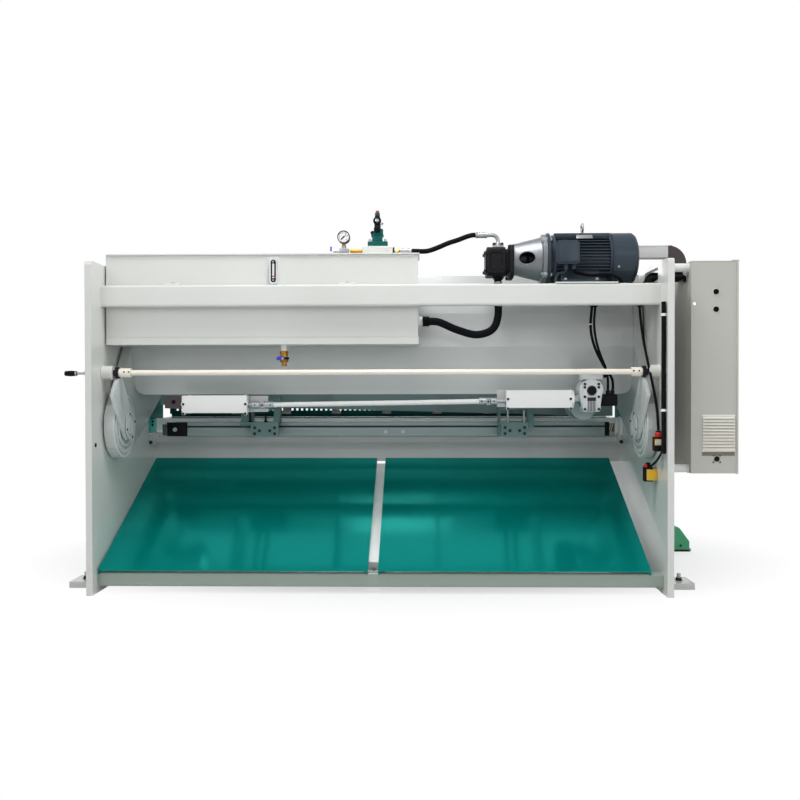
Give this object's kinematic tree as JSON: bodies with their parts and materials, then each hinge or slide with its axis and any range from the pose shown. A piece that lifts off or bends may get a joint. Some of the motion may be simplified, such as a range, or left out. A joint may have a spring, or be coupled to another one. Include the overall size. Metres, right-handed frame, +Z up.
{
  "type": "hydraulic swing beam shear",
  "caption": "Hydraulic swing beam sheet metal shear with motor driven back gauge, rear chutes, oil tank and electrical cabinet.",
  "frame": {"origin": "middle of the footprint box, on the floor", "axes": "+X to the right seen from the rear, +Y towards the operator, +Z up"},
  "size_m": [3.3542, 2.281, 1.8284],
  "materials": {
    "paint": "gloss",
    "beam_paint": "gloss",
    "green": "satin",
    "pedal_green": "satin",
    "steel": "ground",
    "dark_steel": "satin",
    "chrome": "polished",
    "brass": "satin",
    "aluminium": "cast",
    "motor_grey": "satin",
    "black": "satin",
    "rubber": "matt",
    "cabinet_paint": "satin",
    "blue": "gloss",
    "yellow": "satin",
    "zinc": "zinc plated",
    "plastic_grey": "matt"
  },
  "bodies": {
    "frame": {"housing_left": "paint", "housing_right": "paint", "table": "beam_paint", "lower_blade": "steel", "top_rail": "paint", "base_rail": "paint", "hold_down_beam": "paint", "fascia": "paint", "finger_guard": "green", "support_arm_1": "paint", "support_arm_2": "paint", "squaring_arm": "paint", "ram_left": "dark_steel", "ram_right": "dark_steel", "oil_tank": "paint", "tank_lid": "paint", "drain_valve": "brass", "valve_block": "zinc", "solenoid_valve": "green", "pressure_gauge": "chrome", "motor": "motor_grey", "motor_fan_cover": "motor_grey", "motor_terminal_box": "motor_grey", "motor_base": "paint", "bell_housing": "aluminium", "pump": "black", "pressure_hose": "rubber", "suction_hose": "rubber", "chute_left": "green", "chute_right": "green", "chute_strut": "paint", "cabinet": "cabinet_paint", "trunking": "plastic_grey", "switch_upper": "yellow", "switch_lower": "plastic_grey", "switch_conduit": "rubber", "foot_switch": "pedal_green"},
    "swing_beam": {"arm_left": "beam_paint", "arm_right": "beam_paint", "beam_sheet": "beam_paint", "blade_carrier": "beam_paint", "upper_blade": "steel", "gauge_guide_left": "paint", "gauge_guide_right": "paint", "gauge_cross_shaft": "steel", "gauge_gearbox": "aluminium", "gauge_motor": "motor_grey"},
    "gap_shaft": {"gap_rod": "paint", "gap_pinion_left": "dark_steel", "gap_pinion_right": "dark_steel", "gap_crank": "chrome"},
    "sector_left": {"gap_sector_left": "brass"},
    "sector_right": {"gap_sector_right": "brass"},
    "back_gauge": {"gauge_bar": "paint", "gauge_hanger_left": "dark_steel", "gauge_hanger_right": "dark_steel"},
    "door": {"cabinet_door": "cabinet_paint"},
    "drain_handle": {"drain_lever": "blue"}
  },
  "joints": [
    {"name": "beam_swing", "type": "hinge", "parent": "frame", "child": "swing_beam", "pos_m": [-0.11285, -0.84549, 0.782], "axis": [1, 0, 0], "range_deg": [-8, 0]},
    {"name": "gap_crank_turn", "type": "hinge", "parent": "frame", "child": "gap_shaft", "pos_m": [-0.11285, -0.98613, 1.04103], "axis": [1, 0, 0], "range_deg": [0, 225]},
    {"name": "sector_left_turn", "type": "hinge", "parent": "frame", "child": "sector_left", "pos_m": [-0.11285, -0.84549, 0.782], "axis": [1, 0, 0], "range_deg": [-21, 0]},
    {"name": "sector_right_turn", "type": "hinge", "parent": "frame", "child": "sector_right", "pos_m": [-0.11285, -0.84549, 0.782], "axis": [1, 0, 0], "range_deg": [-21, 0]},
    {"name": "gauge_slide", "type": "slide", "parent": "swing_beam", "child": "back_gauge", "axis": [0, 1, 0], "range_m": [-0.3, 0.15]},
    {"name": "cabinet_door_hinge", "type": "hinge", "parent": "frame", "child": "door", "pos_m": [1.57615, -0.41049, 0.56], "axis": [0, 0, 1], "range_deg": [0, 120]},
    {"name": "drain_lever_turn", "type": "hinge", "parent": "frame", "child": "drain_handle", "pos_m": [-0.57831, -0.91849, 1.115], "axis": [0, 1, 0], "range_deg": [0, 90]}
  ],
  "couplings": [
    {"joint": "sector_left_turn", "follows": "gap_crank_turn", "ratio": -0.091667},
    {"joint": "sector_right_turn", "follows": "gap_crank_turn", "ratio": -0.091667}
  ]
}
